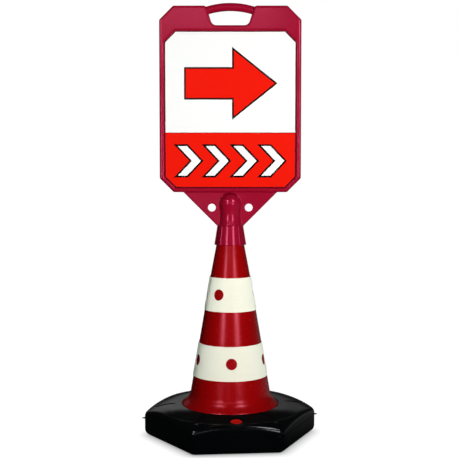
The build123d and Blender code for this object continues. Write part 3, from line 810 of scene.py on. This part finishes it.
# Studio: a white surround, and a pale floor that keeps the shadow. In gloss the plastics mirror a dim room
# with a white cove behind the bollard. Headings are parts of a direction, and run from -1 to 1.
ROOM_FILL = 0.065             # light that reaches the bollard from all round
COVE_REAR = (0.7, 0.95)       # headings to the rear over which the cove fades in
COVE_FOOT = (0.12, 0.28)      # headings upwards over which it fades in
COVE_MIDDLE = (-0.1, 0.1)     # headings to the right over which it dims
COVE_LIGHT = (0.36, 0.15)     # its light at the left and at the right
SIDE_START = (0.7, 0.92)      # headings to the right over which the room turns brighter
SIDE_LIGHT = (0.02, 0.04)     # the room's light elsewhere and at the far right
FLOOR_HALF = 40               # half of the floor's side
FLOOR_FADE = (0.3, 1.4)       # distances over which the floor fades to the white of the surround
FLOOR_LIGHT = (0.96, 1.0)
CONTACT_REACH = 0.024         # distance from the base at which the floor starts to darken
CONTACT_LIGHT = 0.35          # share of its light that is left against the base
CONTACT_RAYS = 8
FLOOR_RIGHT = (0.15, 0.5)     # places to the right over which the floor turns brighter in gloss
FLOOR_RIGHT_LIGHT = 0.16
KEY_BEAM = 90                 # beam of the lamps that light the colours, in degrees
OPEN_BEAM = 180               # beam of the lamps that draw streaks


def seen_in_full(tree):
    """Two outputs: 1 for the rays that show the surround in full, to the camera and through glass,
    and 1 for the rays that show it in gloss."""
    path = add_node(tree, "ShaderNodeLightPath").outputs
    direct = add_node(
        tree,
        "ShaderNodeMath",
        {"operation": "MAXIMUM"},
        {0: path["Is Camera Ray"], 1: path["Is Transmission Ray"]},
    )
    return direct.outputs[0], path["Is Glossy Ray"]


world = bpy.data.worlds.new("studio")
scene.world = world
tree = new_tree(world)
full, glossy = seen_in_full(tree)
heading = add_node(tree, "ShaderNodeTexCoord").outputs["Generated"]
heading = add_node(tree, "ShaderNodeSeparateXYZ", inputs={0: heading}).outputs
behind = add_node(
    tree,
    "ShaderNodeMapRange",
    {"interpolation_type": "SMOOTHSTEP"},
    {"Value": heading["Y"], "From Min": COVE_REAR[0], "From Max": COVE_REAR[1]},
)
raised = add_node(
    tree,
    "ShaderNodeMapRange",
    {"interpolation_type": "SMOOTHSTEP"},
    {"Value": heading["Z"], "From Min": COVE_FOOT[0], "From Max": COVE_FOOT[1]},
)
cove_light = add_node(
    tree,
    "ShaderNodeMapRange",
    {"interpolation_type": "SMOOTHSTEP"},
    {
        "Value": heading["X"],
        "From Min": COVE_MIDDLE[0],
        "From Max": COVE_MIDDLE[1],
        "To Min": COVE_LIGHT[0],
        "To Max": COVE_LIGHT[1],
    },
)
side_light = add_node(
    tree,
    "ShaderNodeMapRange",
    {"interpolation_type": "SMOOTHSTEP"},
    {
        "Value": heading["X"],
        "From Min": SIDE_START[0],
        "From Max": SIDE_START[1],
        "To Min": SIDE_LIGHT[0],
        "To Max": SIDE_LIGHT[1],
    },
)
screen = add_node(
    tree,
    "ShaderNodeMath",
    {"operation": "MULTIPLY"},
    {0: behind.outputs[0], 1: raised.outputs[0]},
)
cove = add_node(
    tree,
    "ShaderNodeMath",
    {"operation": "MULTIPLY_ADD"},
    {0: screen.outputs[0], 1: cove_light.outputs[0], 2: side_light.outputs[0]},
)
unseen = add_node(
    tree,
    "ShaderNodeMix",
    {"data_type": "FLOAT"},
    {0: glossy, 2: ROOM_FILL, 3: cove.outputs[0]},
)
strength = add_node(tree, "ShaderNodeMath", {"operation": "MAXIMUM"}, {0: full, 1: unseen.outputs[0]})
surround = add_node(
    tree,
    "ShaderNodeBackground",
    inputs={"Color": linear("#ffffff"), "Strength": strength.outputs[0]},
)
add_node(tree, "ShaderNodeOutputWorld", inputs={"Surface": surround.outputs[0]})

floor_paint = bpy.data.materials.new("floor_white")
tree = new_tree(floor_paint)
full, glossy = seen_in_full(tree)
grey = add_node(
    tree,
    "ShaderNodeMix",
    {"data_type": "RGBA"},
    {0: glossy, 6: linear("#6e6e6e"), 7: linear("#303030")},
)
matte = add_node(tree, "ShaderNodeBsdfDiffuse", inputs={"Color": grey.outputs[2]})
# the floor fades to the white of the surround away from the bollard
spot = add_node(tree, "ShaderNodeTexCoord").outputs["Object"]
reach = add_node(tree, "ShaderNodeVectorMath", {"operation": "LENGTH"}, {0: spot})
fade = add_node(
    tree,
    "ShaderNodeMapRange",
    {"interpolation_type": "SMOOTHSTEP"},
    {
        "Value": reach.outputs["Value"],
        "From Min": FLOOR_FADE[0],
        "From Max": FLOOR_FADE[1],
        "To Min": FLOOR_LIGHT[0],
        "To Max": FLOOR_LIGHT[1],
    },
)
# and darkens where it is close to the base
near = add_node(
    tree, "ShaderNodeAmbientOcclusion", {"samples": CONTACT_RAYS}, {"Distance": CONTACT_REACH}
)
dimmed = add_node(
    tree, "ShaderNodeMapRange", inputs={"Value": near.outputs["AO"], "To Min": CONTACT_LIGHT}
)
shade = add_node(
    tree, "ShaderNodeMath", {"operation": "MULTIPLY"}, {0: fade.outputs[0], 1: dimmed.outputs[0]}
)
lift = add_node(tree, "ShaderNodeMath", {"operation": "MULTIPLY"}, {0: full, 1: shade.outputs[0]})
# in gloss the floor to the right is the bright part
across = add_node(tree, "ShaderNodeSeparateXYZ", inputs={0: spot}).outputs["X"]
bright_side = add_node(
    tree,
    "ShaderNodeMapRange",
    {"interpolation_type": "SMOOTHSTEP"},
    {
        "Value": across,
        "From Min": FLOOR_RIGHT[0],
        "From Max": FLOOR_RIGHT[1],
        "To Max": FLOOR_RIGHT_LIGHT,
    },
)
lift = add_node(
    tree,
    "ShaderNodeMath",
    {"operation": "MULTIPLY_ADD"},
    {0: glossy, 1: bright_side.outputs[0], 2: lift.outputs[0]},
)
glow = add_node(
    tree, "ShaderNodeEmission", inputs={"Color": linear("#ffffff"), "Strength": lift.outputs[0]}
)
both = add_node(tree, "ShaderNodeAddShader", inputs={0: matte.outputs[0], 1: glow.outputs[0]})
add_node(tree, "ShaderNodeOutputMaterial", inputs={"Surface": both.outputs[0]})

bm = bmesh.new()
bmesh.ops.create_grid(bm, x_segments=1, y_segments=1, size=FLOOR_HALF)
floor_mesh = bpy.data.meshes.new("floor")
bm.to_mesh(floor_mesh)
bm.free()
floor_mesh.materials.append(floor_paint)
floor = bpy.data.objects.new("floor", floor_mesh)
scene.collection.objects.link(floor)


def softbox(name, azimuth, distance, height, aim, width, tall, power, mirrored=False):
    """A soft lamp at an angle from the front and a height above the ground, aimed at a height on the axis.
    A mirrored one only draws its streak on the gloss, and the others only light the colours."""
    turn = radians(azimuth)
    place = Vector((sin(turn) * distance, -cos(turn) * distance, height))
    lamp = bpy.data.lights.new(name, "AREA")
    lamp.shape = "RECTANGLE"
    lamp.size = width
    lamp.size_y = tall
    lamp.energy = power
    lamp.spread = radians(OPEN_BEAM if mirrored else KEY_BEAM)
    # rays that bounce at random would still find the other lamps in the gloss, as stray specks
    lamp.cycles.use_multiple_importance_sampling = mirrored
    holder = bpy.data.objects.new(name, lamp)
    holder.location = place
    holder.rotation_euler = (Vector((0, 0, aim)) - place).to_track_quat("-Z", "Y").to_euler()
    holder.visible_camera = False
    holder.visible_glossy = mirrored
    holder.visible_diffuse = not mirrored
    scene.collection.objects.link(holder)


# Two strips for the cone's streaks, two spots for the ball's, and two cards for the soft gloss of the panel
softbox(
    "left_strip", azimuth=-29, distance=1.9, height=0.735, aim=0.735, width=0.42, tall=0.49, power=5.7,
    mirrored=True,
)
softbox(
    "right_strip", azimuth=27, distance=1.9, height=0.725, aim=0.725, width=0.48, tall=0.51, power=6.7,
    mirrored=True,
)
softbox(
    "left_spot", azimuth=-33, distance=1.0, height=1.12, aim=0.56, width=0.32, tall=0.3, power=3.4,
    mirrored=True,
)
softbox(
    "right_spot", azimuth=33, distance=1.0, height=1.12, aim=0.56, width=0.32, tall=0.3, power=4.1,
    mirrored=True,
)
softbox(
    "high_card", azimuth=-3, distance=3.5, height=1.62, aim=1.0, width=1.0, tall=0.3, power=2.6,
    mirrored=True,
)
softbox(
    "low_card", azimuth=-5, distance=3.5, height=0.38, aim=0.5, width=0.7, tall=0.3, power=0.7,
    mirrored=True,
)
# Keys for the front and the rear, and a fill from above
softbox("front_key", azimuth=10.5, distance=2.3, height=0.55, aim=0.85, width=0.9, tall=0.7, power=13.6)
softbox("rear_key", azimuth=-163, distance=2.3, height=0.65, aim=0.85, width=0.9, tall=0.7, power=13)
softbox("top_fill", azimuth=180, distance=0.3, height=2.6, aim=0.5, width=0.9, tall=0.9, power=2.0)

# Camera of the photo
CAMERA_PLACE = (-0.003, -2.1, 0.6085)
CAMERA_DROP = 3.47            # degrees that it looks down
CAMERA_LENS = 71.1            # millimetres, with a sensor of this width
CAMERA_SENSOR = 36
camera_data = bpy.data.cameras.new("camera")
camera_data.lens = CAMERA_LENS
camera_data.sensor_width = CAMERA_SENSOR
camera = bpy.data.objects.new("camera", camera_data)
camera.location = CAMERA_PLACE
camera.rotation_euler = (radians(90 - CAMERA_DROP), 0, 0)
scene.collection.objects.link(camera)
scene.camera = camera

scene.view_settings.view_transform = "Standard"
